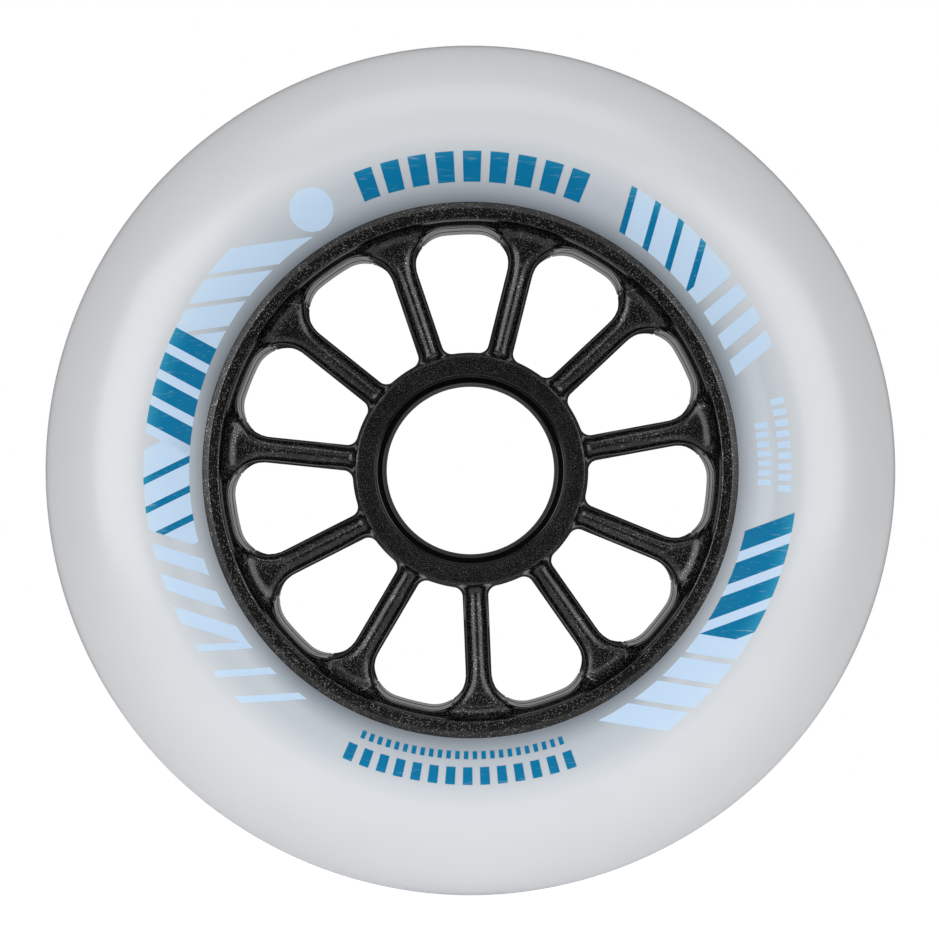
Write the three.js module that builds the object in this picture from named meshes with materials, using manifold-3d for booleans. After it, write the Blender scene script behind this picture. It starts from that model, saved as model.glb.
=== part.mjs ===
// A bare inline skate wheel, 100 mm across: a moulded nylon core with eleven spokes,
// and a polyurethane tyre cast around its rim. Millimetres, +Z up.
// The axle runs along Y and the origin is the wheel's centre. The mid-plane y = 0 is
// where the two halves of the core's mould part, so half widths are counted from it.

import * as THREE from 'three';
import { mergeVertices } from 'three/addons/utils/BufferGeometryUtils.js';
import Module from 'manifold-3d';

const wasm = await Module();
wasm.setup();

// Bearing seats: they take 608 bearings, 22 mm across and 7 mm wide.
const SEAT_RADIUS = 11;
const SEAT_DEPTH = 7;
const STOP_HEIGHT = 0.85; // how far the stop between the seats stands in from the seat's wall
const STOP_DRAFT = 0.3; // how much further it stands in at the mid-plane
const SEAT_CHAMFER = 0.1;

// Boss around the seats
const BOSS_HALF_WIDTH = 12;
const BOSS_WALL = 2.3; // at the end face
const BOSS_DRAFT = 0.5; // how much thicker the wall is at the mid-plane
const BOSS_CHAMFER = 0.2;

// Spokes
const SPOKE_COUNT = 11;
const SPOKE_PHASE = 10.5; // degrees from +X towards +Z, to the first spoke
const SPOKE_HALF_DEPTH = 8; // from the mid-plane to the crest
const SPOKE_WIDTH = 2.96; // at the mid-plane
const SPOKE_DRAFT = 0.28; // taken off each flank between the mid-plane and the rounded edge
const SPOKE_EDGE_ROUND = 1; // radius that rounds each flank into the crest
const BOSS_FILLET = 0.8; // from the crest up to the boss
const RIM_FILLET = 1.6; // from the crest up to the rim
const WINDOW_INNER_CORNER = 1.2; // corner radii of a window, at the mid-plane
const WINDOW_OUTER_CORNER = 3.75;

// Rim
const RIM_INNER_RADIUS = 28.22; // at the mid-plane
const RIM_WALL = 2.7;
const RIM_HALF_WIDTH = 10.4;
const RIM_DRAFT = 0.16; // how much the inner wall opens between the mid-plane and the crest
const RIM_LEAN = 0.4; // how much it opens from there to the end face
const RIM_LIP = 0.7; // width of the chamfer that the tyre ends at
const RIM_LIP_DROP = 0.3;

// Anchor rib, buried in the tyre, and its through holes
const ANCHOR_HEIGHT = 4.6;
const ANCHOR_HALF_WIDTH = 2.2;
const ANCHOR_ROOT = 0.8;
const ANCHOR_HOLES_PER_SPOKE = 2;
const ANCHOR_HOLE_RADIUS = 1.4;

// Tyre
const WHEEL_RADIUS = 50;
const TYRE_HALF_WIDTH = 12;
const SIDEWALL_HEIGHT = 6; // from the rim out to where the tyre is widest
const CAST_GAP = 0.05; // the tyre is cast onto the core, and this keeps the two solids apart

// Worked-out radii and angles
const STOP_RADIUS = SEAT_RADIUS - STOP_HEIGHT;
const STOP_HALF_WIDTH = BOSS_HALF_WIDTH - SEAT_DEPTH;
const BOSS_END_RADIUS = SEAT_RADIUS + BOSS_WALL;
const BOSS_RADIUS = BOSS_END_RADIUS + BOSS_DRAFT;
const RIM_OUTER_RADIUS = RIM_INNER_RADIUS + RIM_WALL;
const ANCHOR_RADIUS = RIM_OUTER_RADIUS + ANCHOR_HEIGHT;
const LIP_HALF_WIDTH = RIM_HALF_WIDTH - RIM_LIP_DROP;
const PITCH = (2 * Math.PI) / SPOKE_COUNT;
const PHASE = THREE.MathUtils.degToRad(SPOKE_PHASE);

// Facets. The lathe's count is a multiple of the spokes', so that all sectors are alike.
const LATHE_SEGMENTS = 4 * SPOKE_COUNT;
const ARC_SEGMENTS = 3;
const TREAD_SEGMENTS = 11;
const HOLE_SEGMENTS = 8;
const EDGE_SEGMENTS = 2;
const WINDOW_CURVE_SEGMENTS = 2;

// Solids ---------------------------------------------------------------------------

function toSolid(geometry) {
  geometry.deleteAttribute('normal');
  geometry.deleteAttribute('uv');
  const merged = mergeVertices(geometry, 1e-4);
  return new wasm.Manifold(new wasm.Mesh({
    numProp: 3,
    vertProperties: new Float32Array(merged.attributes.position.array),
    triVerts: new Uint32Array(merged.index.array),
  }));
}

function toGeometry(solid) {
  const mesh = solid.getMesh();
  const geometry = new THREE.BufferGeometry();
  geometry.setAttribute('position', new THREE.BufferAttribute(mesh.vertProperties, 3));
  geometry.setIndex(new THREE.BufferAttribute(mesh.triVerts, 1));
  geometry.computeVertexNormals();
  return geometry;
}

// Points of a quarter circle, from angle start to angle end, in degrees.
function arc(centreX, centreY, radius, start, end) {
  const points = [];
  for (let i = 0; i <= ARC_SEGMENTS; i++) {
    const angle = THREE.MathUtils.degToRad(start + ((end - start) * i) / ARC_SEGMENTS);
    points.push([centreX + radius * Math.cos(angle), centreY + radius * Math.sin(angle)]);
  }
  return points;
}

// A ring turned about the axle. upperHalf lists [radius, y] from the inside out, for y > 0,
// and the lower half is its mirror image.
function turnedRing(upperHalf) {
  const lowerHalf = upperHalf.map(([radius, y]) => [radius, -y]).reverse();
  const outline = [...upperHalf, ...lowerHalf, upperHalf[0]];
  const points = outline.map(([radius, y]) => new THREE.Vector2(radius, y)).reverse();
  return toSolid(new THREE.LatheGeometry(points, LATHE_SEGMENTS));
}

// Core -----------------------------------------------------------------------------

function boss() {
  return turnedRing([
    [STOP_RADIUS - STOP_DRAFT, 0],
    [STOP_RADIUS, STOP_HALF_WIDTH],
    [SEAT_RADIUS, STOP_HALF_WIDTH],
    [SEAT_RADIUS, BOSS_HALF_WIDTH - SEAT_CHAMFER],
    [SEAT_RADIUS + SEAT_CHAMFER, BOSS_HALF_WIDTH],
    [BOSS_END_RADIUS - BOSS_CHAMFER, BOSS_HALF_WIDTH],
    [BOSS_END_RADIUS, BOSS_HALF_WIDTH - BOSS_CHAMFER],
    [BOSS_RADIUS, 0],
  ]);
}

// The radius of the rim's inner wall at the level of the crest
const RIM_CREST_RADIUS = RIM_INNER_RADIUS + RIM_DRAFT;

// The outline of the rim where the tyre covers it, grown by gap, from the lip in to the rib's top.
function rimOutside(gap) {
  return [
    [RIM_OUTER_RADIUS + gap, LIP_HALF_WIDTH],
    [RIM_OUTER_RADIUS + gap, ANCHOR_HALF_WIDTH + ANCHOR_ROOT + gap],
    [RIM_OUTER_RADIUS + ANCHOR_ROOT + gap, ANCHOR_HALF_WIDTH + gap],
    [ANCHOR_RADIUS + gap, ANCHOR_HALF_WIDTH + gap],
  ];
}

function rim() {
  return turnedRing([
    [RIM_INNER_RADIUS, 0],
    [RIM_CREST_RADIUS, SPOKE_HALF_DEPTH],
    [RIM_CREST_RADIUS + RIM_LEAN, RIM_HALF_WIDTH],
    [RIM_OUTER_RADIUS - RIM_LIP, RIM_HALF_WIDTH],
    ...rimOutside(0),
  ]);
}

// The disc that the windows are cut from, with its fillets up to the boss and the rim.
// A fillet is never taller than the wall that it runs up to.
function web() {
  const bossWall = BOSS_RADIUS - (BOSS_DRAFT * SPOKE_HALF_DEPTH) / BOSS_HALF_WIDTH;
  const bossFillet = Math.min(BOSS_FILLET, BOSS_HALF_WIDTH - SPOKE_HALF_DEPTH);
  const rimFillet = Math.min(RIM_FILLET, RIM_HALF_WIDTH - SPOKE_HALF_DEPTH);
  const bossTop = SPOKE_HALF_DEPTH + bossFillet;
  const rimTop = SPOKE_HALF_DEPTH + rimFillet;
  return turnedRing([
    [SEAT_RADIUS + BOSS_WALL / 2, bossTop],
    ...arc(bossWall + bossFillet, bossTop, bossFillet, 180, 270),
    ...arc(RIM_CREST_RADIUS - rimFillet, rimTop, rimFillet, 270, 360),
    [RIM_INNER_RADIUS + RIM_WALL / 2, rimTop],
  ]);
}

// The outline of the window that is centred on +X, grown all round by grow.
function windowShape(grow) {
  const halfPitch = PITCH / 2;
  const outerRadius = RIM_INNER_RADIUS + grow;
  const innerRadius = BOSS_RADIUS - grow;
  const outerCorner = WINDOW_OUTER_CORNER + grow;
  const innerCorner = WINDOW_INNER_CORNER + grow;
  // A corner's centre lies at a known distance from the axle and from the spoke's middle line.
  const centreOf = (fromAxle, fromSpoke) => {
    const angle = halfPitch - Math.asin(fromSpoke / fromAxle);
    return { angle, x: fromAxle * Math.cos(angle), y: fromAxle * Math.sin(angle) };
  };
  const outer = centreOf(
    RIM_INNER_RADIUS - WINDOW_OUTER_CORNER, SPOKE_WIDTH / 2 + WINDOW_OUTER_CORNER);
  const inner = centreOf(
    BOSS_RADIUS + WINDOW_INNER_CORNER, SPOKE_WIDTH / 2 + WINDOW_INNER_CORNER);
  const side = halfPitch + Math.PI / 2; // from a corner's centre to the spoke's flank
  const shape = new THREE.Shape();
  shape.absarc(0, 0, outerRadius, -outer.angle, outer.angle, false);
  shape.absarc(outer.x, outer.y, outerCorner, outer.angle, side, false);
  shape.absarc(inner.x, inner.y, innerCorner, side, Math.PI + inner.angle, false);
  shape.absarc(0, 0, innerRadius, inner.angle, -inner.angle, true);
  shape.absarc(inner.x, -inner.y, innerCorner, Math.PI - inner.angle, -side, false);
  shape.absarc(outer.x, -outer.y, outerCorner, -side, -outer.angle, false);
  return shape;
}

// Turns a shape extruded along its own Z into one along Y, at its window's place.
function placeWindow(geometry, index) {
  geometry.rotateX(Math.PI / 2);
  geometry.rotateY(-(PHASE + (index + 0.5) * PITCH));
  return geometry;
}

// The cut flares at both ends, which rounds the edges of the spokes beside it.
// It is narrowest at the mid-plane, where the flanks' draft starts.
function windowCut(index) {
  const wideShape = windowShape(SPOKE_DRAFT + SPOKE_EDGE_ROUND);
  const flank = 2 * (SPOKE_HALF_DEPTH - SPOKE_EDGE_ROUND);
  const flared = new THREE.ExtrudeGeometry(wideShape, {
    depth: flank,
    steps: 2,
    bevelThickness: SPOKE_EDGE_ROUND,
    bevelSize: -SPOKE_EDGE_ROUND,
    bevelSegments: EDGE_SEGMENTS,
    curveSegments: WINDOW_CURVE_SEGMENTS,
  });
  flared.translate(0, 0, -flank / 2);
  flared.deleteAttribute('normal');
  flared.deleteAttribute('uv');
  const drafted = mergeVertices(flared, 1e-4);
  drafted.computeVertexNormals();
  const { position, normal } = drafted.attributes;
  for (let i = 0; i < position.count; i++) {
    if (Math.abs(position.getZ(i)) > 1e-3) continue;
    position.setX(i, position.getX(i) - SPOKE_DRAFT * normal.getX(i));
    position.setY(i, position.getY(i) - SPOKE_DRAFT * normal.getY(i));
  }
  let cut = toSolid(placeWindow(drafted, index));
  for (const start of [SPOKE_HALF_DEPTH, -SPOKE_HALF_DEPTH - 2 * RIM_FILLET]) {
    const above = new THREE.ExtrudeGeometry(wideShape, {
      depth: 2 * RIM_FILLET,
      bevelEnabled: false,
      curveSegments: WINDOW_CURVE_SEGMENTS,
    });
    above.translate(0, 0, start);
    cut = cut.add(toSolid(placeWindow(above, index)));
  }
  return cut;
}

// Rods along the axle's direction through the middle of the anchor rib's bare height.
function anchorRods(radius, halfLength) {
  const count = ANCHOR_HOLES_PER_SPOKE * SPOKE_COUNT;
  const distance = (RIM_OUTER_RADIUS + ANCHOR_ROOT + ANCHOR_RADIUS) / 2;
  const rods = [];
  for (let i = 0; i < count; i++) {
    const angle = PHASE + ((i + 0.5) * 2 * Math.PI) / count;
    const rod = new THREE.CylinderGeometry(radius, radius, 2 * halfLength, HOLE_SEGMENTS);
    rod.translate(distance, 0, 0);
    rod.rotateY(-angle);
    rods.push(toSolid(rod));
  }
  return rods;
}

function core() {
  let spider = web();
  for (let i = 0; i < SPOKE_COUNT; i++) spider = spider.subtract(windowCut(i));
  let solid = spider.add(boss()).add(rim());
  const pastTheRib = 2 * ANCHOR_HALF_WIDTH;
  for (const hole of anchorRods(ANCHOR_HOLE_RADIUS, pastTheRib)) solid = solid.subtract(hole);
  return solid;
}

// Tyre -----------------------------------------------------------------------------

// The tread is half an ellipse, and the sidewall falls from it to the rim's lip.
function tyre() {
  const widestRadius = RIM_OUTER_RADIUS + SIDEWALL_HEIGHT;
  const innerRadius = RIM_OUTER_RADIUS + CAST_GAP;
  const outside = [];
  for (let i = 1; i < ARC_SEGMENTS; i++) {
    const along = i / ARC_SEGMENTS;
    outside.push([
      innerRadius + along * (widestRadius - innerRadius),
      LIP_HALF_WIDTH + (TYRE_HALF_WIDTH - LIP_HALF_WIDTH) * Math.sin((along * Math.PI) / 2),
    ]);
  }
  for (let i = 0; i <= TREAD_SEGMENTS; i++) {
    const angle = (i / TREAD_SEGMENTS) * (Math.PI / 2);
    outside.push([
      widestRadius + (WHEEL_RADIUS - widestRadius) * Math.sin(angle),
      TYRE_HALF_WIDTH * Math.cos(angle),
    ]);
  }
  const inside = rimOutside(CAST_GAP).reverse();
  let solid = turnedRing([...inside, ...outside.slice(0, -1), [WHEEL_RADIUS, 0]]);
  const intoTheTyre = ANCHOR_HALF_WIDTH + 2 * ANCHOR_ROOT;
  for (const post of anchorRods(ANCHOR_HOLE_RADIUS - CAST_GAP, intoTheTyre)) {
    solid = solid.add(post);
  }
  return solid;
}

// Scene ----------------------------------------------------------------------------

function piece(name, solid, material) {
  const mesh = new THREE.Mesh(toGeometry(solid), new THREE.MeshStandardMaterial(material));
  mesh.name = name;
  return mesh;
}

const wheel = new THREE.Group();
wheel.add(piece('core', core(), { color: 0x1b1c1d, roughness: 0.45, metalness: 0 }));
wheel.add(piece('tyre', tyre(), { color: 0xd9dcdf, roughness: 0.3, metalness: 0 }));

export default wheel;
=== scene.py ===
"""A bare inline skate wheel: a black moulded core with eleven spokes and a white cast tyre.

The fine core, the fine tyre and the print on the tyre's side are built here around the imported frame.
Shapes are worked out in millimetres and turned to metres when a mesh is made. The axle runs along Y,
the camera stands on the -Y side, and the wheel's centre is the origin.
"""
import math

import bmesh
import bpy
import numpy as np
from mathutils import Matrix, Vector


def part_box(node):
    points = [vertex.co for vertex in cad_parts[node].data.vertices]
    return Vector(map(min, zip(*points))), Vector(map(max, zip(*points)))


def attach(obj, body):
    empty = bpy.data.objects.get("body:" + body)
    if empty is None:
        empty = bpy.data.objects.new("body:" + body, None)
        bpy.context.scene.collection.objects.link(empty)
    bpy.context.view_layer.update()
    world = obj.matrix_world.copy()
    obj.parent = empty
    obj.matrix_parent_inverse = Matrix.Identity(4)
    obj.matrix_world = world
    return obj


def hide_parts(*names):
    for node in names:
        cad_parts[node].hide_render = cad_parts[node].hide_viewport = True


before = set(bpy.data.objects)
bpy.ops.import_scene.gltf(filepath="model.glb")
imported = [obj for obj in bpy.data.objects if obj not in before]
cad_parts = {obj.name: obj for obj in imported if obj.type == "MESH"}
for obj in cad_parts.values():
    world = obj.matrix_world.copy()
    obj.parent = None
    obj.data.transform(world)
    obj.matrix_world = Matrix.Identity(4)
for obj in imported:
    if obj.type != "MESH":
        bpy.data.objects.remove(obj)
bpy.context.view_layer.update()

# Sizes, in millimetres --------------------------------------------------------------------

MM = 0.001


def high_corner(node):
    """The highest corner of a CAD node, in millimetres."""
    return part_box(node)[1] / MM


# These come from the frame.
WHEEL_RADIUS = high_corner("tyre").x
TYRE_HALF_WIDTH = high_corner("tyre").y
BOSS_HALF_WIDTH = high_corner("core").y
ANCHOR_RADIUS = high_corner("core").x

# These follow the core's drawing, with finer drafts and roundings. Half widths are counted from
# the mid-plane, and a draft slope is how far a wall leans over for each millimetre of its height.
SPOKES = 11
SPOKE_PHASE = math.radians(10.5)
SEAT_RADIUS = 11.0
SEAT_DEPTH = 7.0
STOP_RADIUS = 10.15
STOP_DRAFT = 0.3  # how much narrower the stop's hole is at the mid-plane
BOSS_END_RADIUS = 13.22
BOSS_RADIUS = 13.85
SPOKE_HALF_DEPTH = 8.0
SPOKE_HALF_WIDTH = 1.48
SPOKE_EDGE_ROUND = 0.6
SPOKE_CROWN = 0.5  # the crest falls by this times the square of the distance from its middle
SPOKE_DRAFT_SLOPE = 0.0275
BOSS_EDGE_ROUND = 0.12
BOSS_FILLET = 0.8
RIM_EDGE_ROUND = 0.2
RIM_FILLET = 1.6
WINDOW_INNER_CORNER = 1.2
WINDOW_OUTER_CORNER = 3.75
RIM_INNER_RADIUS = 28.22
RIM_OUTER_RADIUS = 30.92
RIM_HALF_WIDTH = 10.4
RIM_DRAFT_SLOPE = 0.006
RIM_LEDGE = 0.38  # how far the rim's wall stands back from the window above the spokes
RIM_LEAN = 0.4  # how far it leans back more, from there up to the face
RIM_LIP = 0.7
RIM_LIP_DROP = 0.3
ANCHOR_HALF_WIDTH = 2.2
ANCHOR_ROOT = 0.8
FLASH_HEIGHT = 0.04  # the ridge that the two halves of the mould leave around each window
FLASH_HALF_WIDTH = 0.05
SIDEWALL_HEIGHT = 6.0  # from the rim's lip out to where the tyre is widest

SECTOR = 2 * math.pi / SPOKES
LIP_HALF_WIDTH = RIM_HALF_WIDTH - RIM_LIP_DROP
WIDEST_RADIUS = RIM_OUTER_RADIUS + SIDEWALL_HEIGHT
BOSS_DRAFT_SLOPE = (BOSS_RADIUS - BOSS_END_RADIUS) / BOSS_HALF_WIDTH


# Colours and material nodes ---------------------------------------------------------------

MIX_FIRST, MIX_SECOND, MIX_RESULT = 6, 7, 2  # the colour sockets of a Mix node


def colour(hex_code):
    """An sRGB hex colour as linear RGBA."""
    channels = [int(hex_code[i:i + 2], 16) / 255 for i in (1, 3, 5)]
    linear = [c / 12.92 if c <= 0.04045 else ((c + 0.055) / 1.055) ** 2.4 for c in channels]
    return (*linear, 1.0)


def grey(value):
    """A linear grey as RGBA."""
    return (value, value, value, 1.0)


def add(material, kind, settings=None, inputs=None, stops=()):
    """Adds one node. settings are its properties, inputs are plain values or outputs of other
    nodes, and stops are a colour ramp's (position, colour)."""
    tree = material.node_tree
    node = tree.nodes.new(kind)
    for name, value in (settings or {}).items():
        setattr(node, name, value)
    for name, value in (inputs or {}).items():
        if isinstance(value, bpy.types.NodeSocket):
            tree.links.new(value, node.inputs[name])
        else:
            node.inputs[name].default_value = value
    if stops:
        elements = node.color_ramp.elements
        while len(elements) < len(stops):
            elements.new(0.5)
        for element, (position, value) in zip(elements, stops):
            element.position = position
            element.color = value
    return node


def new_material(name):
    """A node material with nothing in it yet."""
    material = bpy.data.materials.new(name)
    material.use_nodes = True
    material.node_tree.nodes.clear()
    return material


# Camera -----------------------------------------------------------------------------------
# Lengths are in metres here.

SENSOR_WIDTH = 36.0  # millimetres
CAMERA_DISTANCE = 0.490
CAMERA_DROP = 0.0026  # how far the camera stands below the axle
VIEW_WIDTH = 0.11063  # what the frame takes in at the wheel's mid-plane
WHEEL_PLACE = (0.00011, -0.00012)  # the axle's place in the frame, from its middle


def make_camera():
    """A camera that looks straight at the wheel's side, from a little below its axle."""
    data = bpy.data.cameras.new("camera")
    data.sensor_width = SENSOR_WIDTH
    data.lens = data.sensor_width * CAMERA_DISTANCE / VIEW_WIDTH
    data.shift_x = -WHEEL_PLACE[0] / VIEW_WIDTH
    data.shift_y = (CAMERA_DROP - WHEEL_PLACE[1]) / VIEW_WIDTH
    camera = bpy.data.objects.new("camera", data)
    camera.location = (0.0, -CAMERA_DISTANCE, -CAMERA_DROP)
    camera.rotation_euler = (math.pi / 2, 0.0, 0.0)
    bpy.context.scene.collection.objects.link(camera)
    bpy.context.scene.camera = camera


make_camera()


# Mesh helpers -----------------------------------------------------------------------------

WELD = 1e-6  # points closer than this, in metres, are one point
SHARP_ANGLE = math.radians(35)  # an edge that turns more than this stays sharp


def make_piece(name, vertices, faces, material):
    """A smooth-shaded mesh object from points in millimetres, with doubled points welded."""
    mesh = bpy.data.meshes.new(name)
    mesh.from_pydata((np.asarray(vertices, float) * MM).tolist(), [], faces)
    work = bmesh.new()
    work.from_mesh(mesh)
    bmesh.ops.remove_doubles(work, verts=work.verts, dist=WELD)
    bmesh.ops.dissolve_degenerate(work, edges=work.edges, dist=WELD / 10)
    bmesh.ops.recalc_face_normals(work, faces=work.faces)
    work.to_mesh(mesh)
    work.free()
    mesh.materials.append(material)
    mesh.shade_smooth()
    mesh.set_sharp_from_angle(angle=SHARP_ANGLE)
    piece = bpy.data.objects.new(name, mesh)
    bpy.context.scene.collection.objects.link(piece)
    return piece


def grid_faces(rows, columns, start=0, closed=False):
    """Quads of a grid whose points are numbered along the columns, row by row."""
    faces = []
    for row in range(rows - 1):
        for column in range(columns if closed else columns - 1):
            following = (column + 1) % columns
            a = start + row * columns + column
            b = start + row * columns + following
            faces.append((a, b, b + columns, a + columns))
    return faces


ROUND_STEPS = 3


def rounded(points, radii):
    """A profile with each of its inner corners rounded. There is one radius for each of them."""
    points = [np.array(p, float) for p in points]
    result = [points[0]]
    for before, corner, after, radius in zip(points, points[1:], points[2:], radii):
        back = (before - corner) / np.linalg.norm(before - corner)
        on = (after - corner) / np.linalg.norm(after - corner)
        half_angle = math.acos(np.clip(back @ on, -1, 1)) / 2
        reach = radius / math.tan(half_angle)
        for i in range(ROUND_STEPS + 1):
            t = i / ROUND_STEPS
            result.append(corner + reach * ((1 - t) ** 2 * back + t ** 2 * on))
    result.append(points[-1])
    return np.array(result)


# Core -------------------------------------------------------------------------------------
# One forty-fourth of the core is worked out: half a sector, from a spoke's middle line to a
# window's, on one side of the mid-plane. u runs out along the spoke, v across it, and w is the
# height over the mid-plane. Every wall has draft, so each (u, v) has just one height.

def union_round(a, b, radius):
    """Joins two signed distances with a fillet in the inner corner."""
    corner = np.hypot(np.maximum(radius - a, 0), np.maximum(radius - b, 0))
    return np.maximum(radius, np.minimum(a, b)) - corner


def meet_round(a, b, radius):
    """What two signed distances have in common, with the outer corner rounded."""
    corner = np.hypot(np.maximum(radius + a, 0), np.maximum(radius + b, 0))
    return np.minimum(-radius, np.maximum(a, b)) + corner


def corner_centre(from_axle, from_spoke):
    """A window corner's centre (u, v), and its angle from the spoke's middle line."""
    angle = math.asin(from_spoke / from_axle)
    return np.array([from_axle * math.cos(angle), from_spoke]), angle


OUTER_CENTRE, OUTER_ANGLE = corner_centre(
    RIM_INNER_RADIUS - WINDOW_OUTER_CORNER, SPOKE_HALF_WIDTH + WINDOW_OUTER_CORNER)
INNER_CENTRE, INNER_ANGLE = corner_centre(
    BOSS_RADIUS + WINDOW_INNER_CORNER, SPOKE_HALF_WIDTH + WINDOW_INNER_CORNER)


def window_distance(u, v):
    """How far a point lies from the window's edge, counted into the moulding."""
    radius = np.hypot(u, v)
    angle = np.arctan2(v, u)
    from_outer = np.hypot(u - OUTER_CENTRE[0], v - OUTER_CENTRE[1]) - WINDOW_OUTER_CORNER
    from_inner = np.hypot(u - INNER_CENTRE[0], v - INNER_CENTRE[1]) - WINDOW_INNER_CORNER
    flank = SPOKE_HALF_WIDTH - v
    at_rim = np.where(angle > OUTER_ANGLE, radius - RIM_INNER_RADIUS, from_outer)
    at_boss = np.where(angle > INNER_ANGLE, BOSS_RADIUS - radius, from_inner)
    return np.where(u > OUTER_CENTRE[0], at_rim, np.where(u < INNER_CENTRE[0], at_boss, flank))


# Bands of distance from the axle over which the flank's draft goes over to the boss's and to the
# rim's.
BOSS_BLEND = (BOSS_RADIUS + 1, BOSS_RADIUS + 4)
RIM_BLEND = (RIM_INNER_RADIUS - 5, RIM_INNER_RADIUS - 0.5)


def outside_core(u, v, w):
    """Signed distance to the core's surface, negative inside. The fillets up to the boss and the
    rim shrink to nothing where the spoke's flank runs into them, because there it lies flush."""
    radius = np.hypot(u, v)
    depth = window_distance(u, v)
    near_rim = np.interp(radius, RIM_BLEND, [0, 1])
    near_boss = np.interp(radius, BOSS_BLEND, [1, 0])
    slope = (SPOKE_DRAFT_SLOPE + near_boss * (BOSS_DRAFT_SLOPE - SPOKE_DRAFT_SLOPE)
             + near_rim * (RIM_DRAFT_SLOPE - SPOKE_DRAFT_SLOPE))
    flank = slope * w - depth
    fall = SPOKE_CROWN * (1 - near_rim) * np.maximum(SPOKE_HALF_WIDTH - depth, 0) ** 2
    crest = w - SPOKE_HALF_DEPTH + fall
    spoke = meet_round(flank, crest, SPOKE_EDGE_ROUND)
    sideways = np.maximum(SPOKE_EDGE_ROUND + flank, 0)
    upwards = np.maximum(SPOKE_EDGE_ROUND + crest, 0)
    facing_up = (upwards / (np.hypot(sideways, upwards) + 1e-9)) ** 2
    boss_wall = radius - (BOSS_RADIUS - BOSS_DRAFT_SLOPE * w)
    boss = meet_round(boss_wall, w - BOSS_HALF_WIDTH, BOSS_EDGE_ROUND)
    lean = RIM_LEAN / (RIM_HALF_WIDTH - SPOKE_HALF_DEPTH)
    rim_radius = RIM_INNER_RADIUS + RIM_LEDGE + lean * (w - SPOKE_HALF_DEPTH)
    rim = meet_round(rim_radius - radius, w - RIM_HALF_WIDTH, RIM_EDGE_ROUND)
    solid = union_round(spoke, boss, BOSS_FILLET * facing_up)
    return union_round(solid, rim, RIM_FILLET * facing_up)


HALVINGS = 34


def height(u, v):
    """The core's height over the mid-plane at each (u, v), found by halving."""
    low = np.zeros_like(u)
    high = np.full_like(u, BOSS_HALF_WIDTH + 1)
    for _ in range(HALVINGS):
        middle = (low + high) / 2
        inside = outside_core(u, v, middle) < 0
        low = np.where(inside, middle, low)
        high = np.where(inside, high, middle)
    return (low + high) / 2


def spread(points, count, length_step, angle_step):
    """Positions 0..len-1 along a polyline that share its length and its turning out evenly."""
    steps = np.diff(points, axis=0)
    lengths = np.linalg.norm(steps, axis=1) + 1e-12
    directions = steps / lengths[:, None]
    turns = np.arccos(np.clip(np.sum(directions[1:] * directions[:-1], axis=1), -1, 1))
    load = lengths / length_step
    load[1:] += turns / angle_step / 2
    load[:-1] += turns / angle_step / 2
    total = np.concatenate([[0], np.cumsum(load)])
    return np.interp(np.linspace(0, total[-1], count), total, np.arange(len(points)))


def sample(points, positions):
    """Points of a polyline at fractional positions."""
    index = np.arange(len(points))
    return np.stack([np.interp(positions, index, column) for column in points.T], axis=1)


FACE_INNER = 12.8  # rings on the flat faces where the spoke's surface hands over to turned ones
FACE_OUTER = 29.35
BOSS_COLUMNS = 12
SPOKE_COLUMNS = 40
RIM_COLUMNS = 18
WALL_ROWS = 34
LENGTH_STEP = 0.9  # a length in millimetres and a turn that earn as many points as each other
CREST_TURN = math.radians(14)
WALL_TURN = math.radians(12)
EDGE_SAMPLES = 400
CREST_SAMPLES = 6000
WALL_SAMPLES = 1200


def polar(radius, angle):
    """Points (u, v) at a distance from the axle and an angle from the spoke's middle line."""
    return np.stack([radius * np.cos(angle), radius * np.sin(angle)], axis=-1)


def window_edge(part, places):
    """Points (u, v) on one part of the window's edge at the mid-plane, from the boss out to the rim.
    places is how many points there are, or at which shares of the part's length they lie."""
    mid_inner = (-math.pi / 2 - (math.pi - INNER_ANGLE)) / 2
    mid_outer = (-math.pi / 2 + OUTER_ANGLE) / 2
    fine = EDGE_SAMPLES
    arcs = {
        "boss": [polar(BOSS_RADIUS, np.linspace(SECTOR / 2, INNER_ANGLE, fine)),
                 INNER_CENTRE + polar(WINDOW_INNER_CORNER,
                                      np.linspace(INNER_ANGLE - math.pi, mid_inner, fine))],
        "spoke": [INNER_CENTRE + polar(WINDOW_INNER_CORNER,
                                       np.linspace(mid_inner, -math.pi / 2, fine)),
                  OUTER_CENTRE + polar(WINDOW_OUTER_CORNER,
                                       np.linspace(-math.pi / 2, mid_outer, fine))],
        "rim": [OUTER_CENTRE + polar(WINDOW_OUTER_CORNER,
                                     np.linspace(mid_outer, OUTER_ANGLE, fine)),
                polar(RIM_INNER_RADIUS, np.linspace(OUTER_ANGLE, SECTOR / 2, fine))],
    }[part]
    path = np.concatenate(arcs)
    passed = np.concatenate([[0], np.cumsum(np.linalg.norm(np.diff(path, axis=0), axis=1))])
    wanted = places * passed[-1] if np.ndim(places) else np.linspace(0, passed[-1], places)
    return np.stack([np.interp(wanted, passed, column) for column in path.T], axis=1)


def crest_line():
    """Distances from the axle along the spoke's middle line, closer together where it bends."""
    u = np.linspace(FACE_INNER, FACE_OUTER, CREST_SAMPLES)
    line = np.stack([u, height(u, np.zeros_like(u))], axis=1)
    return sample(line, spread(line, SPOKE_COLUMNS + 1, LENGTH_STEP, CREST_TURN))[:, 0]


FLANK_START = 0.7  # the flank is paired with the crest beside it from this far past the inner
FLANK_END = 1.0  # corner's centre up to this far before the outer one's


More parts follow.
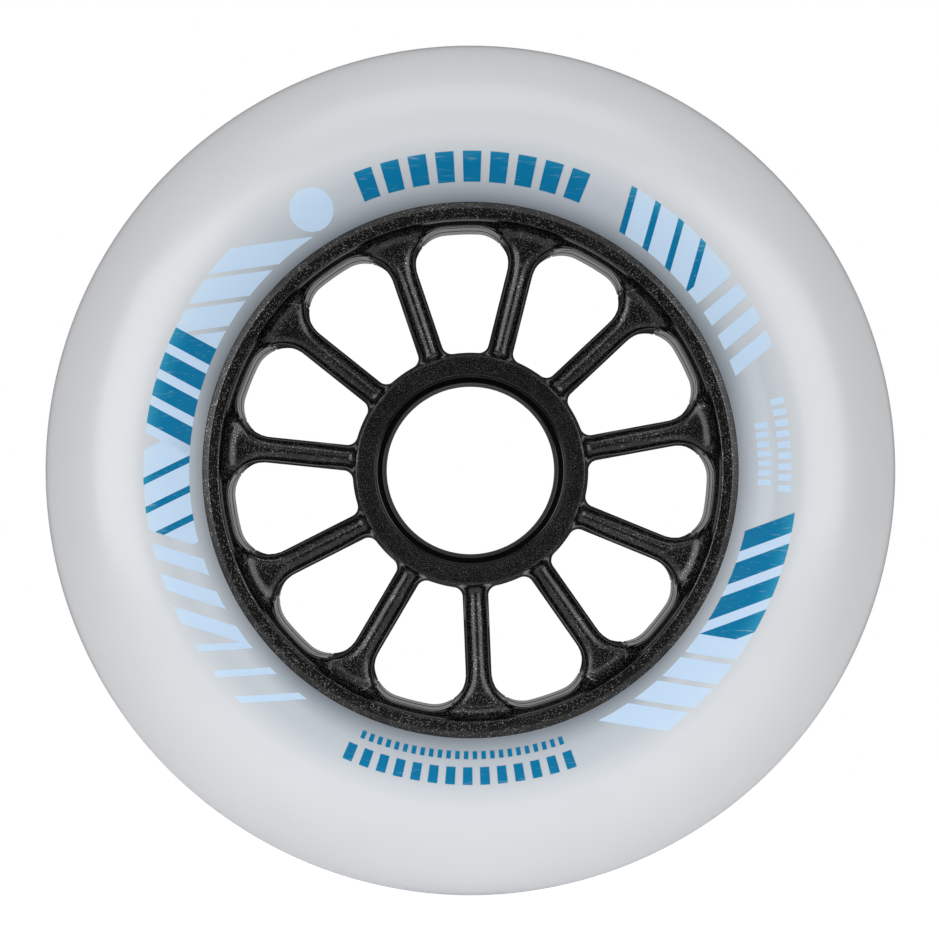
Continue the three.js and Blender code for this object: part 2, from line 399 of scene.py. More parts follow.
def edge_share(crest):
    """Which share of the spoke's window edge lies across from each point of its crest."""
    inner_arc = WINDOW_INNER_CORNER * (math.pi / 2 - INNER_ANGLE) / 2
    outer_arc = WINDOW_OUTER_CORNER * (math.pi / 2 + OUTER_ANGLE) / 2
    flank = OUTER_CENTRE[0] - INNER_CENTRE[0]
    whole = inner_arc + flank + outer_arc
    near, far = INNER_CENTRE[0] + FLANK_START, OUTER_CENTRE[0] - FLANK_END
    start, end = (inner_arc + FLANK_START) / whole, (inner_arc + flank - FLANK_END) / whole
    return np.interp(crest, [FACE_INNER, near, far, FACE_OUTER], [0, start, end, 1])


def wall_columns():
    """The feet (on the window's edge) and the heads of the columns that the surface hangs on."""
    crest = crest_line()
    boss_angles = np.linspace(SECTOR / 2, 0, BOSS_COLUMNS + 1)
    rim_angles = np.linspace(0, SECTOR / 2, RIM_COLUMNS + 1)
    feet = np.concatenate([
        window_edge("boss", BOSS_COLUMNS + 1)[:-1],
        window_edge("spoke", edge_share(crest))[:-1],
        window_edge("rim", RIM_COLUMNS + 1),
    ])
    heads = np.concatenate([
        polar(FACE_INNER, boss_angles)[:-1],
        np.stack([crest, np.zeros_like(crest)], axis=1)[:-1],
        polar(FACE_OUTER, rim_angles),
    ])
    return feet, heads, boss_angles, rim_angles


def into_moulding(foot):
    """The direction that leads straight away from the window at a point of its edge."""
    step = 0.01
    along_u, along_v = np.array([step, 0]), np.array([0, step])
    slope = np.array([window_distance(*(foot + d)) - window_distance(*(foot - d))
                      for d in (along_u, along_v)])
    return slope / (np.linalg.norm(slope) + 1e-12)


def window_wall():
    """The surface from the window's edge up over the spoke, the boss's wall and the rim's. It
    starts on the ridge of flash at the mid-plane."""
    feet, heads, boss_angles, rim_angles = wall_columns()
    shares = (1 - np.cos(np.linspace(0, math.pi, WALL_SAMPLES))) / 2
    columns = []
    for foot, head in zip(feet, heads):
        plan = foot + shares[:, None] * (head - foot)
        rise = height(plan[:, 0], plan[:, 1])
        rise[0] = FLASH_HALF_WIDTH
        profile = np.stack([shares * np.linalg.norm(head - foot), rise], axis=1)
        rows = spread(profile, WALL_ROWS, LENGTH_STEP, WALL_TURN)
        ridge = foot - FLASH_HEIGHT * into_moulding(foot)
        columns.append(np.vstack([
            [*ridge, 0], [*ridge, FLASH_HALF_WIDTH / 3],
            sample(np.column_stack([plan, rise]), rows)]))
    vertices = np.concatenate(columns)
    return vertices, grid_faces(len(feet), len(columns[0])), boss_angles, rim_angles


def turned_strip(profile, angles):
    """Half a sector of a turned surface, from a profile of (radius, w)."""
    rings = [np.column_stack([polar(r, angles), np.full(len(angles), w)]) for r, w in profile]
    return np.concatenate(rings), grid_faces(len(profile), len(angles))


def boss_outline():
    """(radius, w) from the boss's face through the bearing seat to the stop's hole."""
    return rounded([
        (FACE_INNER, BOSS_HALF_WIDTH),
        (SEAT_RADIUS, BOSS_HALF_WIDTH),
        (SEAT_RADIUS, BOSS_HALF_WIDTH - SEAT_DEPTH),
        (STOP_RADIUS, BOSS_HALF_WIDTH - SEAT_DEPTH),
        (STOP_RADIUS - STOP_DRAFT, 0),
    ], (0.06, 0.15, 0.1))


def rim_outline():
    """(radius, w) from the rim's face over the lip to the anchor rib inside the tyre."""
    return rounded([
        (FACE_OUTER, RIM_HALF_WIDTH),
        (RIM_OUTER_RADIUS - RIM_LIP, RIM_HALF_WIDTH),
        (RIM_OUTER_RADIUS, LIP_HALF_WIDTH),
        (RIM_OUTER_RADIUS, ANCHOR_HALF_WIDTH + ANCHOR_ROOT),
        (RIM_OUTER_RADIUS + ANCHOR_ROOT, ANCHOR_HALF_WIDTH),
        (ANCHOR_RADIUS, ANCHOR_HALF_WIDTH),
        (ANCHOR_RADIUS, 0),
    ], (0.12, 0.08, 0.4, 0.4, 0.3))


def half_sector():
    """Points (u, v, w) and faces of one forty-fourth of the core."""
    wall, wall_faces, boss_angles, rim_angles = window_wall()
    boss, boss_faces = turned_strip(boss_outline(), boss_angles)
    rim, rim_faces = turned_strip(rim_outline(), rim_angles)
    faces = list(wall_faces)
    faces += [tuple(i + len(wall) for i in f) for f in boss_faces]
    faces += [tuple(i + len(wall) + len(boss) for i in f) for f in rim_faces]
    return np.concatenate([wall, boss, rim]), faces


def core_mesh(material):
    """The whole core: each half sector turned to its place, mirrored, and on both faces."""
    part, part_faces = half_sector()
    radius = np.hypot(part[:, 0], part[:, 1])
    angle = np.arctan2(part[:, 1], part[:, 0])
    copies, faces = [], []
    for spoke in range(SPOKES):
        for side in (-1, 1):
            turned = SPOKE_PHASE + spoke * SECTOR + side * angle
            for face_side in (-1, 1):
                start = len(copies) * len(part)
                copies.append(np.column_stack([
                    radius * np.cos(turned), face_side * part[:, 2], radius * np.sin(turned)]))
                faces += [tuple(start + i for i in f) for f in part_faces]
    return make_piece("core_moulding", np.concatenate(copies), faces, material)


# Tyre -------------------------------------------------------------------------------------

TYRE_COLUMNS = 24 * SPOKES
SIDEWALL_STEPS = 12
TREAD_STEPS = 28
CAST_GAP = 0.03  # between the tyre and the core, so that the two skins don't lie in each other


def sidewall_height(radius):
    """The tyre's half width at a radius between the rim's lip and the tread."""
    up = np.clip((radius - RIM_OUTER_RADIUS) / SIDEWALL_HEIGHT, 0, 1)
    lower = LIP_HALF_WIDTH + (TYRE_HALF_WIDTH - LIP_HALF_WIDTH) * np.sin(up * math.pi / 2)
    out = np.clip((radius - WIDEST_RADIUS) / (WHEEL_RADIUS - WIDEST_RADIUS), 0, 1)
    return np.where(radius < WIDEST_RADIUS, lower, TYRE_HALF_WIDTH * np.sqrt(1 - out ** 2))


def tyre_mesh(material):
    """The tyre, turned: the groove around the anchor rib, the sidewalls and the round tread."""
    radii = np.linspace(RIM_OUTER_RADIUS + CAST_GAP, WIDEST_RADIUS, SIDEWALL_STEPS)[:-1]
    sidewall = [(r, float(sidewall_height(np.array(r)))) for r in radii]
    tread = [(WIDEST_RADIUS + (WHEEL_RADIUS - WIDEST_RADIUS) * math.sin(t),
              TYRE_HALF_WIDTH * math.cos(t)) for t in np.linspace(0, math.pi / 2, TREAD_STEPS)]
    inside = [
        (ANCHOR_RADIUS + CAST_GAP, 0),
        (ANCHOR_RADIUS + CAST_GAP, ANCHOR_HALF_WIDTH + CAST_GAP),
        (RIM_OUTER_RADIUS + ANCHOR_ROOT + CAST_GAP, ANCHOR_HALF_WIDTH + CAST_GAP),
        (RIM_OUTER_RADIUS + CAST_GAP, ANCHOR_HALF_WIDTH + ANCHOR_ROOT + CAST_GAP),
    ]
    half = inside + sidewall + tread
    mirrored = [(r, -w) for r, w in reversed(half[1:-1])]
    profile = np.array(half + mirrored)
    angles = np.arange(TYRE_COLUMNS) * 2 * math.pi / TYRE_COLUMNS
    rings = [np.column_stack([r * np.cos(angles), np.full(TYRE_COLUMNS, w), r * np.sin(angles)])
             for r, w in profile]
    rings.append(rings[0])
    faces = grid_faces(len(rings), TYRE_COLUMNS, closed=True)
    return make_piece("tyre_casting", np.concatenate(rings), faces, material)


# Print ------------------------------------------------------------------------------------
# Flat stripes in two inks on the front sidewall. A stripe runs in one direction, given in degrees
# from +X towards +Z, and lies between two distances from the axle, counted to its right.

PRINT_INNER_RADIUS = 32.4
PRINT_OUTER_RADIUS = 37.6
STRIPE_PITCH = 3.08
INK_HEIGHT = 0.02
INK_STEP = 0.25  # how finely the ink follows the sidewall
SHORTEST_INK = 0.02  # a row that the cuts leave shorter than this is left out


def along(direction):
    """The unit vector that points in a direction."""
    angle = math.radians(direction)
    return np.array([math.cos(angle), math.sin(angle)])


def right_of(direction):
    """The unit vector that points to the right of a direction."""
    angle = math.radians(direction)
    return np.array([math.sin(angle), -math.cos(angle)])


def stripe(direction, near, far, side, cuts=()):
    """Rows of points (x, z) across one stripe. side is 1 where the stripe lies ahead of the axle
    and -1 where it lies behind. Each cut is a line's direction and its distance to the right of
    the axle, and the stripe keeps what is left of it."""
    across, ahead = right_of(direction), along(direction)
    rows = []
    for offset in np.linspace(near, far, max(4, math.ceil((far - near) / INK_STEP) + 1)):
        low = math.sqrt(PRINT_INNER_RADIUS ** 2 - offset ** 2)
        high = math.sqrt(PRINT_OUTER_RADIUS ** 2 - offset ** 2)
        if side < 0:
            low, high = -high, -low
        for cut_direction, limit in cuts:
            cut_across = right_of(cut_direction)
            rate = cut_across @ ahead
            reach = (limit - offset * (cut_across @ across)) / rate
            if rate > 0:
                high = min(high, reach)
            else:
                low = max(low, reach)
        if high - low > SHORTEST_INK:
            rows.append((offset * across + low * ahead, offset * across + high * ahead))
    steps = math.ceil((PRINT_OUTER_RADIUS - PRINT_INNER_RADIUS) / INK_STEP)
    return [[start + (end - start) * i / steps for i in range(steps + 1)] for start, end in rows]


def block(start, end, inner, outer):
    """Rows of points across a piece of a ring, between two angles in degrees."""
    columns = max(2, math.ceil(math.radians(end - start) * outer / INK_STEP))
    rows = max(2, math.ceil((outer - inner) / INK_STEP))
    return [[r * along(start + (end - start) * i / columns) for i in range(columns + 1)]
            for r in np.linspace(inner, outer, rows + 1)]


def disc(angle, distance, radius):
    """Rows of points across a round spot, from just inside one of its sides to the other."""
    centre = distance * along(angle)
    steps = 2 * math.ceil(radius / INK_STEP)
    turns = np.linspace(2, 178, 3 * steps)
    return [[centre + radius * (along(-t) + i / steps * (along(t) - along(-t)))
             for i in range(steps + 1)] for t in turns]


def stripes_in_a_row(direction, first, width, count, side, cuts=()):
    """Parallel stripes of one width. first is where the first of them begins."""
    starts = [first + i * STRIPE_PITCH for i in range(count)]
    return [stripe(direction, start, start + width, side, cuts) for start in starts]


def blocks_in_a_row(start, end, count, fill, inner, outer):
    """Equal blocks in a row around the wheel. fill is the share of the row that they take."""
    pitch = (end - start) / count
    return [block(start + i * pitch, start + (i + fill) * pitch, inner, outer)
            for i in range(count)]


def pale_print():
    """The pale ink: broad stripes with short ones beside them, a disc, and rows of small blocks."""
    top_right_end = (40.6, 2.5)
    bottom_right_end = (-8.5, 17.1)
    left_start = (-28.3, 1.6)
    middle_end = (-18.2, 18.1)
    return [
        stripe(74.5, 9.9, 26.0, 1, [top_right_end]),
        *stripes_in_a_row(40.6, 3.7, 1.8, 3, 1),
        stripe(20.6, 17.7, 32.2, 1, [bottom_right_end]),
        *stripes_in_a_row(-8.5, 17.7, 2.5, 3, 1),
        *stripes_in_a_row(8.6, -29.3, 2.55, 4, -1, [left_start]),
        stripe(-28.3, 1.6, 13.9, -1),
        stripe(26.5, -18.8, -6.6, -1, [middle_end]),
        *stripes_in_a_row(-18.2, 19.35, 1.6, 3, -1),
        *stripes_in_a_row(3.0, 18.4, 0.8, 3, -1),
        disc(121.4, 35.1, 2.55),
        *blocks_in_a_row(-4.0, 14.0, 9, 0.62, 35.4, 36.9),
        *blocks_in_a_row(-3.0, 10.0, 7, 0.62, 33.1, 34.6),
    ]


def blue_print():
    """The dark ink: stripes in rows of equal ones, large blocks at the top, small ones below."""
    return [
        *stripes_in_a_row(74.5, 9.15, 0.75, 4, 1, [(40.6, 0.7)]),
        *stripes_in_a_row(20.6, 17.7, 2.0, 4, 1, [(-8.5, 14.75)]),
        *stripes_in_a_row(-28.3, 1.6, 2.0, 4, -1),
        *stripes_in_a_row(26.5, -15.95, 0.75, 3, -1, [(-18.2, 18.1)]),
        *blocks_in_a_row(67.9, 113.2, 9, 0.66, 33.2, 36.7),
        *blocks_in_a_row(246.0, 291.2, 14, 0.55, 34.2, 36.2),
        *blocks_in_a_row(247.6, 289.8, 24, 0.5, 32.4, 33.3),
    ]


def print_mesh(name, shapes, lift, material):
    """Thin closed films of ink that follow the front sidewall, sunk a little into it."""
    vertices, faces = [], []
    for rows in shapes:
        grid = np.array(rows)
        count, width = grid.shape[:2]
        plan = grid.reshape(-1, 2)
        level = sidewall_height(np.hypot(plan[:, 0], plan[:, 1]))
        start = len(vertices)
        for rise in (lift, -INK_HEIGHT):
            vertices += np.column_stack([plan[:, 0], -(level + rise), plan[:, 1]]).tolist()
        under = start + count * width
        faces += grid_faces(count, width, start)
        faces += [tuple(reversed(f)) for f in grid_faces(count, width, under)]
        rim = list(range(width))
        rim += [row * width + width - 1 for row in range(1, count)]
        rim += [(count - 1) * width + i for i in range(width - 2, -1, -1)]
        rim += [row * width for row in range(count - 2, 0, -1)]
        for a, b in zip(rim, rim[1:] + rim[:1]):
            faces.append((start + a, start + b, under + b, under + a))
    return make_piece(name, vertices, faces, material)


# Materials --------------------------------------------------------------------------------
# Sizes and depths of patterns are in millimetres.

def axle_place(material):
    """Object coordinates, and the distance from the axle in metres."""
    place = add(material, "ShaderNodeTexCoord").outputs["Object"]
    flat = add(material, "ShaderNodeVectorMath", {"operation": "MULTIPLY"}, {
        0: place, 1: (1, 0, 1)}).outputs["Vector"]
    radius = add(material, "ShaderNodeVectorMath", {"operation": "LENGTH"}, {
        0: flat}).outputs["Value"]
    return place, radius


GLINT_SIZE = 0.11  # the real fibre ends are finer, and would not show
GLINT_PATCH_SIZE = 2.2
NYLON_GRAIN_SIZE = 0.16
NYLON_GRAIN_DEPTH = 0.010
SCUFF_SIZE = 0.5
FLOW_RADIUS = 20.0  # where a step around the axle is as long as a step away from it
BORE_MARGIN = 0.05  # keeps the changes of skin clear of the seat's and the stop's edges


def melt_flow(material, place, radius):
    """Coordinates that run out from the axle, around it and along it, as the melt flowed."""
    parts = add(material, "ShaderNodeSeparateXYZ", inputs={"Vector": place})
    turn = add(material, "ShaderNodeMath", {"operation": "ARCTAN2"}, {
        0: parts.outputs["Z"], 1: parts.outputs["X"]}).outputs["Value"]
    around = add(material, "ShaderNodeMath", {"operation": "MULTIPLY"}, {
        0: turn, 1: FLOW_RADIUS * MM}).outputs["Value"]
    return add(material, "ShaderNodeCombineXYZ", inputs={
        "X": radius, "Y": parts.outputs["Y"], "Z": around}).outputs["Vector"]


def grained_share(material, radius):
    """1 on the outer faces that look along the axle, 0 on the walls and in the seats."""
    normal = add(material, "ShaderNodeNewGeometry").outputs["Normal"]
    parts = add(material, "ShaderNodeSeparateXYZ", inputs={"Vector": normal})
    along_axle = add(material, "ShaderNodeMath", {"operation": "ABSOLUTE"}, {
        0: parts.outputs["Y"]}).outputs["Value"]
    facing = add(material, "ShaderNodeMapRange", inputs={
        "Value": along_axle, "From Min": 0.25, "From Max": 0.6}).outputs["Result"]
    outside_seat = add(material, "ShaderNodeMath", {"operation": "GREATER_THAN"}, {
        0: radius, 1: (SEAT_RADIUS + BORE_MARGIN) * MM}).outputs["Value"]
    return add(material, "ShaderNodeMath", {"operation": "MULTIPLY"}, {
        0: facing, 1: outside_seat}).outputs["Value"]


def lip_share(material, radius):
    """1 on the rim's bevelled lip, 0 inside of it."""
    across = add(material, "ShaderNodeMapRange", inputs={
        "Value": radius, "From Min": (RIM_OUTER_RADIUS - RIM_LIP) * MM,
        "From Max": RIM_OUTER_RADIUS * MM}).outputs["Result"]
    return add(material, "ShaderNodeValToRGB", inputs={"Fac": across}, stops=[
        (0.0, grey(0)), (0.3, grey(1))]).outputs["Color"]


def glass_fibres(material, place, flow, grained):
    """Where the ends of glass fibres glint: specks that come in patches, on the grained faces."""
    specks = add(material, "ShaderNodeTexNoise", inputs={
        "Vector": flow, "Scale": 1 / (GLINT_SIZE * MM), "Detail": 1.0}).outputs["Fac"]
    glints = add(material, "ShaderNodeValToRGB", inputs={"Fac": specks}, stops=[
        (0.61, grey(0)), (0.74, grey(1))]).outputs["Color"]
    clouds = add(material, "ShaderNodeTexNoise", inputs={
        "Vector": place, "Scale": 1 / (GLINT_PATCH_SIZE * MM)}).outputs["Fac"]
    patches = add(material, "ShaderNodeValToRGB", inputs={"Fac": clouds}, stops=[
        (0.38, grey(0.35)), (0.60, grey(1))]).outputs["Color"]
    patchy = add(material, "ShaderNodeMath", {"operation": "MULTIPLY"}, {
        0: glints, 1: patches}).outputs["Value"]
    return add(material, "ShaderNodeMath", {"operation": "MULTIPLY"}, {
        0: patchy, 1: grained}).outputs["Value"]


def nylon_colour(material, flow, lip, fibres):
    """Black, greyer where the lip is scuffed, and pale where a fibre glints."""
    rubs = add(material, "ShaderNodeTexNoise", inputs={
        "Vector": flow, "Scale": 1 / (SCUFF_SIZE * MM), "Detail": 4.0}).outputs["Fac"]
    scuffs = add(material, "ShaderNodeValToRGB", inputs={"Fac": rubs}, stops=[
        (0.5, grey(0)), (0.72, grey(0.35))]).outputs["Color"]
    on_lip = add(material, "ShaderNodeMath", {"operation": "MULTIPLY"}, {
        0: lip, 1: scuffs}).outputs["Value"]
    scuffed = add(material, "ShaderNodeMix", {"data_type": "RGBA"}, {
        "Factor": on_lip, MIX_FIRST: colour("#060606"), MIX_SECOND: colour("#323230")})
    return add(material, "ShaderNodeMix", {"data_type": "RGBA"}, {
        "Factor": fibres, MIX_FIRST: scuffed.outputs[MIX_RESULT],
        MIX_SECOND: colour("#bcbab6")}).outputs[MIX_RESULT]


def nylon_roughness(material, radius, grained, lip):
    """Smooth walls, slightly rougher faces, and dull on the lip and in the hole of the stop."""
    outer = add(material, "ShaderNodeMapRange", inputs={
        "Value": grained, "To Min": 0.13, "To Max": 0.23}).outputs["Result"]
    with_hole = add(material, "ShaderNodeMapRange", inputs={
        "Value": radius, "From Min": (STOP_RADIUS - BORE_MARGIN) * MM,
        "From Max": STOP_RADIUS * MM, "To Min": 0.5, "To Max": outer}).outputs["Result"]
    return add(material, "ShaderNodeMapRange", inputs={
        "Value": lip, "To Min": with_hole, "To Max": 0.4}).outputs["Result"]


def glass_filled_nylon():
    """Black nylon with short glass fibres, injection moulded. Its skin is glossy but fine-grained,
    the fibres glint in it, and the lip that the tyre ends at is scuffed pale."""
    material = new_material("glass_filled_nylon")
    place, radius = axle_place(material)
    flow = melt_flow(material, place, radius)
    grained = grained_share(material, radius)
    lip = lip_share(material, radius)
    fibres = glass_fibres(material, place, flow, grained)
    lumps = add(material, "ShaderNodeTexNoise", inputs={
        "Vector": flow, "Scale": 1 / (NYLON_GRAIN_SIZE * MM), "Detail": 3.0,
        "Roughness": 0.6}).outputs["Fac"]
    relief = add(material, "ShaderNodeMath", {"operation": "MULTIPLY"}, {
        0: lumps, 1: grained}).outputs["Value"]
    normal = add(material, "ShaderNodeBump", inputs={
        "Height": relief, "Strength": 1.0,
        "Distance": NYLON_GRAIN_DEPTH * MM}).outputs["Normal"]
    shader = add(material, "ShaderNodeBsdfPrincipled", inputs={
        "Base Color": nylon_colour(material, flow, lip, fibres), "Metallic": fibres,
        "Roughness": nylon_roughness(material, radius, grained, lip), "Normal": normal,
        "IOR": 1.56})
    add(material, "ShaderNodeOutputMaterial", inputs={"Surface": shader.outputs["BSDF"]})
    return material


# The tyre's base colour carries a painted shade of the black core from the rim out to this radius.
PAINTED_SHADE_LAST_RADIUS = 42.0  # from here outwards the black core no longer shows
CLOUD_SIZE = 14.0
RIPPLE_SIZE = 3.5
RIPPLE_DEPTH = 0.012


def milk_with_painted_core_shade(material, place, radius):
    """The tyre's milky white at each distance from the axle, with faint clouds in it. Towards the rim
    it is darker and bluer: a painted shade of the black core seen through the tyre.
    """
    # Painted shade: darker and bluer from the rim out to 41.5 mm, where the black core would show
    # through.
    shades = [(30.9, "#7a8189"), (31.6, "#929ba4"), (32.6, "#afb7c0"), (33.6, "#c1c9d1"),
              (35.5, "#cbd2d9"), (37.0, "#d6dce1"), (38.8, "#e1e4e8"), (41.5, "#e5e7ea")]
    width = PAINTED_SHADE_LAST_RADIUS - RIM_OUTER_RADIUS
    outwards = add(material, "ShaderNodeMapRange", inputs={
        "Value": radius, "From Min": RIM_OUTER_RADIUS * MM,
        "From Max": PAINTED_SHADE_LAST_RADIUS * MM}).outputs["Result"]
    milk_and_painted_shade = add(material, "ShaderNodeValToRGB", inputs={"Fac": outwards}, stops=[
        ((r - RIM_OUTER_RADIUS) / width, colour(c)) for r, c in shades]).outputs["Color"]
    wisps = add(material, "ShaderNodeTexNoise", inputs={
        "Vector": place, "Scale": 1 / (CLOUD_SIZE * MM)}).outputs["Fac"]
    clouds = add(material, "ShaderNodeValToRGB", inputs={"Fac": wisps}, stops=[
        (0.3, grey(0)), (0.7, grey(0.06))]).outputs["Color"]
    return add(material, "ShaderNodeMix", {"data_type": "RGBA"}, {
        "Factor": clouds, MIX_FIRST: milk_and_painted_shade, MIX_SECOND: colour("#bfc4ca")}).outputs[MIX_RESULT]


def cast_polyurethane():
    """Milky white polyurethane, cast in a polished mould. The real one lets some light through, so
    that the black core shows as a bluish shade beside the rim and over the buried rib; that shade is
    painted into the base colour here."""
    material = new_material("cast_polyurethane")
    place, radius = axle_place(material)
    ripples = add(material, "ShaderNodeTexNoise", inputs={
        "Vector": place, "Scale": 1 / (RIPPLE_SIZE * MM)}).outputs["Fac"]
    normal = add(material, "ShaderNodeBump", inputs={
        "Height": ripples, "Strength": 1.0, "Distance": RIPPLE_DEPTH * MM}).outputs["Normal"]
    shader = add(material, "ShaderNodeBsdfPrincipled", inputs={
        "Base Color": milk_with_painted_core_shade(material, place, radius), "Normal": normal,
        "Roughness": 0.24, "IOR": 1.5})
    add(material, "ShaderNodeOutputMaterial", inputs={"Surface": shader.outputs["BSDF"]})
    return material


STREAK_SIZE = 0.28
STREAK_SLOPE = -8  # degrees
STREAK_STRETCH = 0.12
WEAR_MARGIN = 0.4  # how far past the print's outer edge the wear would be complete


def ink_streaks(material, place, thin):
    """Bare streaks where the pad dragged, and more of them where the film is thin."""
    turned = add(material, "ShaderNodeMapping", inputs={
        "Vector": place, "Rotation": (0, math.radians(STREAK_SLOPE), 0),
        "Scale": (STREAK_STRETCH, 1, 1)}).outputs["Vector"]
    lines = add(material, "ShaderNodeTexNoise", inputs={
        "Vector": turned, "Scale": 1 / (STREAK_SIZE * MM)}).outputs["Fac"]
    streaks = add(material, "ShaderNodeValToRGB", inputs={"Fac": lines}, stops=[
        (0.58, grey(0)), (0.72, grey(0.5))]).outputs["Color"]
    drag = add(material, "ShaderNodeValToRGB", inputs={"Fac": thin}, stops=[
        (0.0, grey(0.12)), (0.5, grey(0.45)), (1.0, grey(0.85))]).outputs["Color"]
    return add(material, "ShaderNodeMath", {"operation": "MULTIPLY"}, {
        0: streaks, 1: drag}).outputs["Value"]


def pad_print_ink(name, body, worn, wear_from):
    """Pad-printed ink: a thin film with little gloss, streaky where the pad dragged, that pales
    towards its outer ends. wear_from is the distance from the axle at which that begins."""
    material = new_material(name)
    place, radius = axle_place(material)
    thin = add(material, "ShaderNodeMapRange", inputs={
        "Value": radius, "From Min": wear_from * MM,
        "From Max": (PRINT_OUTER_RADIUS + WEAR_MARGIN) * MM}).outputs["Result"]
    wear = add(material, "ShaderNodeMath", {"operation": "MULTIPLY"}, {
        0: thin, 1: thin}).outputs["Value"]
    faded = add(material, "ShaderNodeMix", {"data_type": "RGBA"}, {
        "Factor": wear, MIX_FIRST: colour(body), MIX_SECOND: colour(worn)})
    base = add(material, "ShaderNodeMix", {"data_type": "RGBA"}, {
        "Factor": ink_streaks(material, place, thin), MIX_FIRST: faded.outputs[MIX_RESULT],
        MIX_SECOND: colour("#e2ebf2")}).outputs[MIX_RESULT]
    shader = add(material, "ShaderNodeBsdfPrincipled", inputs={
        "Base Color": base, "Roughness": 0.5, "IOR": 1.2})
    add(material, "ShaderNodeOutputMaterial", inputs={"Surface": shader.outputs["BSDF"]})
    return material


core = core_mesh(glass_filled_nylon())
tyre = tyre_mesh(cast_polyurethane())
pale = print_mesh("print_pale", pale_print(), INK_HEIGHT,
                  pad_print_ink("pale_pad_print_ink", "#cae3fc", "#d6e8f8", 35.5))
blue = print_mesh("print_blue", blue_print(), 2 * INK_HEIGHT,
                  pad_print_ink("blue_pad_print_ink", "#0077a6", "#3ba3c6", 35.2))
for piece, slot in ((core, "core"), (tyre, "tyre"), (pale, "print_pale"), (blue, "print_blue")):
    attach(piece, "root")
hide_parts("core")
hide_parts("tyre")


# Floor and light --------------------------------------------------------------------------
# Lengths are in metres here.

FLOOR_HALF_SIZE = 3.0
PAPER_RADIUS = 0.06  # the paper is whole up to here, and has faded out at CLEAR_RADIUS
CLEAR_RADIUS = 0.22


def white_paper():
    """White paper that fades into the white around it."""
    material = new_material("white_paper_floor")
    paper = add(material, "ShaderNodeBsdfPrincipled", inputs={
        "Base Color": grey(0.85), "Roughness": 0.9})
    seen = add(material, "ShaderNodeLightPath").outputs["Is Camera Ray"]
    strength = add(material, "ShaderNodeMapRange", inputs={
        "Value": seen, "To Min": 0.2, "To Max": 0.8}).outputs["Result"]
    glow = add(material, "ShaderNodeEmission", inputs={"Strength": strength})
    lit = add(material, "ShaderNodeAddShader", inputs={
        0: paper.outputs["BSDF"], 1: glow.outputs["Emission"]})
    place = add(material, "ShaderNodeTexCoord").outputs["Object"]
    flat = add(material, "ShaderNodeVectorMath", {"operation": "MULTIPLY"}, {
        0: place, 1: (1, 1, 0)}).outputs["Vector"]
    distance = add(material, "ShaderNodeVectorMath", {"operation": "LENGTH"}, {
        0: flat}).outputs["Value"]
    fade = add(material, "ShaderNodeMapRange", {"interpolation_type": "SMOOTHSTEP"}, {
        "Value": distance, "From Min": PAPER_RADIUS, "From Max": CLEAR_RADIUS}).outputs["Result"]
    clear = add(material, "ShaderNodeBsdfTransparent")
    surface = add(material, "ShaderNodeMixShader", inputs={
        0: fade, 1: lit.outputs["Shader"], 2: clear.outputs["BSDF"]})
    add(material, "ShaderNodeOutputMaterial", inputs={"Surface": surface.outputs["Shader"]})
    return material


def make_floor():
    """A sheet of paper under the tread."""
    mesh = bpy.data.meshes.new("floor")
    size = FLOOR_HALF_SIZE
    corners = [(-size, -size, 0), (size, -size, 0), (size, size, 0), (-size, size, 0)]
    mesh.from_pydata(corners, [], [(0, 1, 2, 3)])
    mesh.materials.append(white_paper())
    floor = bpy.data.objects.new("floor", mesh)
    floor.location.z = -WHEEL_RADIUS * MM
    bpy.context.scene.collection.objects.link(floor)


def softbox(name, turn, off_axis, distance, size, radiance):
    """A rectangular softbox aimed at the wheel. turn is its angle around the axle, in degrees from
    +X towards +Z, off_axis is its angle from the wheel's front axis, and size is (across, up)."""
    data = bpy.data.lights.new(name, "AREA")
    data.shape = "RECTANGLE"
    data.size, data.size_y = size
    data.energy = radiance * size[0] * size[1] * math.pi
    light = bpy.data.objects.new(name, data)
    tilt, around = math.radians(off_axis), math.radians(turn)
    light.location = distance * Vector((
        math.sin(tilt) * math.cos(around), -math.cos(tilt), math.sin(tilt) * math.sin(around)))
    light.rotation_euler = (-light.location).to_track_quat("-Z", "Y").to_euler()
    light.visible_camera = False
    bpy.context.scene.collection.objects.link(light)


FRONT_LIGHT = 0.028  # the world's strength in front of the wheel and behind it
BACK_LIGHT = 0.6
FRONT_TO_BACK = (-0.35, 0.5)  # the Y of the directions between which it goes from one to the other
DIM_ANGLES = (34, 22)  # degrees from straight behind, where the dim patch starts and is full
DIM_PATCH = 0.05  # what is left of the light in it
TOP_LEFT = (-0.4, 0, 0.8)
BOTTOM_RIGHT_SHARE = 1.15
TOP_LEFT_SHARE = 0.7
TOP_LEFT_REACH = 0.9  # the product with TOP_LEFT that counts as all the way there


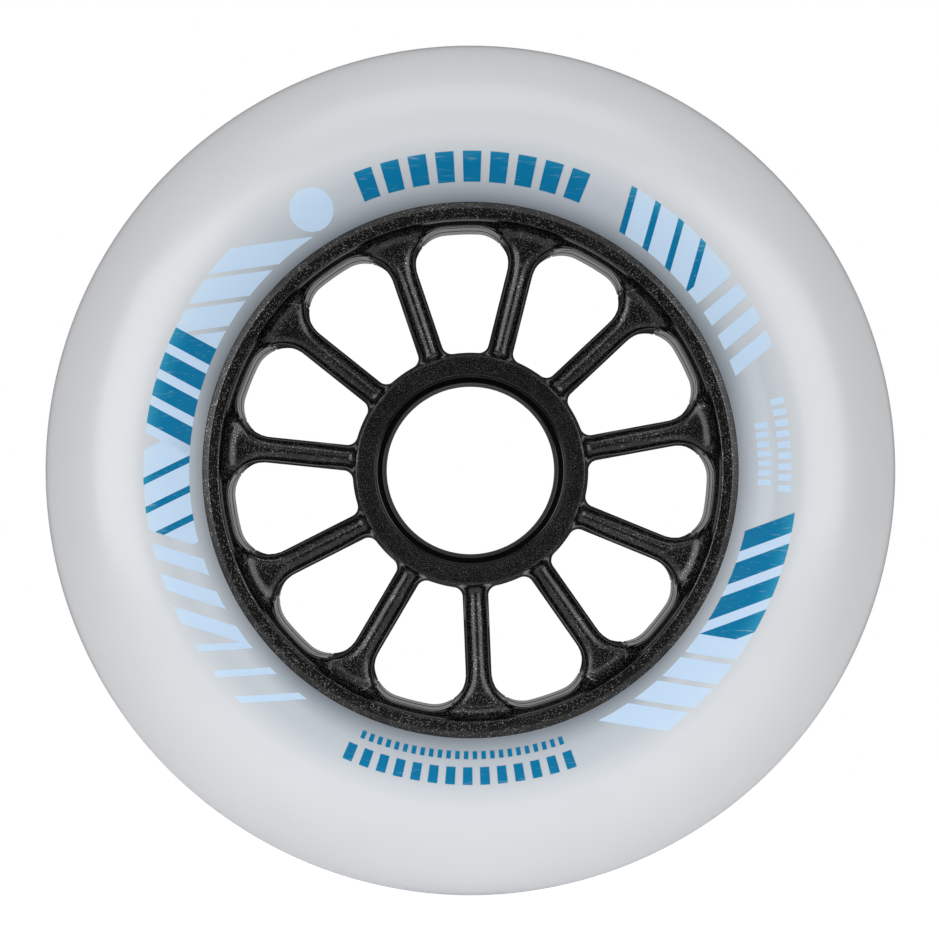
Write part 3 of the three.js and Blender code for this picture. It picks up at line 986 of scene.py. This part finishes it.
def world_light(world):
    """The strength of the light that comes from each direction."""
    direction = add(world, "ShaderNodeTexCoord").outputs["Generated"]
    backward = add(world, "ShaderNodeSeparateXYZ", inputs={"Vector": direction}).outputs["Y"]
    back = add(world, "ShaderNodeMapRange", {"interpolation_type": "SMOOTHSTEP"}, {
        "Value": backward, "From Min": FRONT_TO_BACK[0], "From Max": FRONT_TO_BACK[1],
        "To Min": FRONT_LIGHT, "To Max": BACK_LIGHT}).outputs["Result"]
    patch_start, patch_full = (math.cos(math.radians(angle)) for angle in DIM_ANGLES)
    patch = add(world, "ShaderNodeMapRange", {"interpolation_type": "SMOOTHSTEP"}, {
        "Value": backward, "From Min": patch_start, "From Max": patch_full,
        "To Min": 1.0, "To Max": DIM_PATCH}).outputs["Result"]
    top_left = add(world, "ShaderNodeVectorMath", {"operation": "DOT_PRODUCT"}, {
        0: direction, 1: TOP_LEFT}).outputs["Value"]
    tilt = add(world, "ShaderNodeMapRange", inputs={
        "Value": top_left, "From Min": -TOP_LEFT_REACH, "From Max": TOP_LEFT_REACH,
        "To Min": BOTTOM_RIGHT_SHARE, "To Max": TOP_LEFT_SHARE}).outputs["Result"]
    patched = add(world, "ShaderNodeMath", {"operation": "MULTIPLY"}, {
        0: back, 1: patch}).outputs["Value"]
    return add(world, "ShaderNodeMath", {"operation": "MULTIPLY"}, {
        0: patched, 1: tilt}).outputs["Value"]


def make_world():
    """White all round for the eye. As light it is bright behind the wheel and dim in front. It is
    dimmer towards the top left, and dim straight behind, which keeps the spokes' flanks dark."""
    world = bpy.data.worlds.new("studio")
    bpy.context.scene.world = world
    world.use_nodes = True
    background = world.node_tree.nodes["Background"]
    seen = add(world, "ShaderNodeLightPath").outputs["Is Camera Ray"]
    strength = add(world, "ShaderNodeMix", inputs={
        "Factor": seen, "A": world_light(world), "B": 1.0}).outputs["Result"]
    world.node_tree.links.new(strength, background.inputs["Strength"])
    background.inputs["Color"].default_value = grey(1)


make_floor()
make_world()
softbox("softbox_left", 165, 41, 1.0, (0.72, 0.72), 3.0)
softbox("softbox_right", 16, 41, 1.0, (0.72, 0.72), 2.6)
softbox("softbox_top", 90, 60, 1.1, (1.0, 0.5), 1.3)
softbox("softbox_front", 90, 24, 1.0, (0.5, 0.2), 0.9)
# A small one straight behind, which only the rim's steep walls mirror.
softbox("glow_behind", 0, 180, 0.3, (0.054, 0.054), 0.3)
bpy.context.scene.view_settings.view_transform = "Standard"
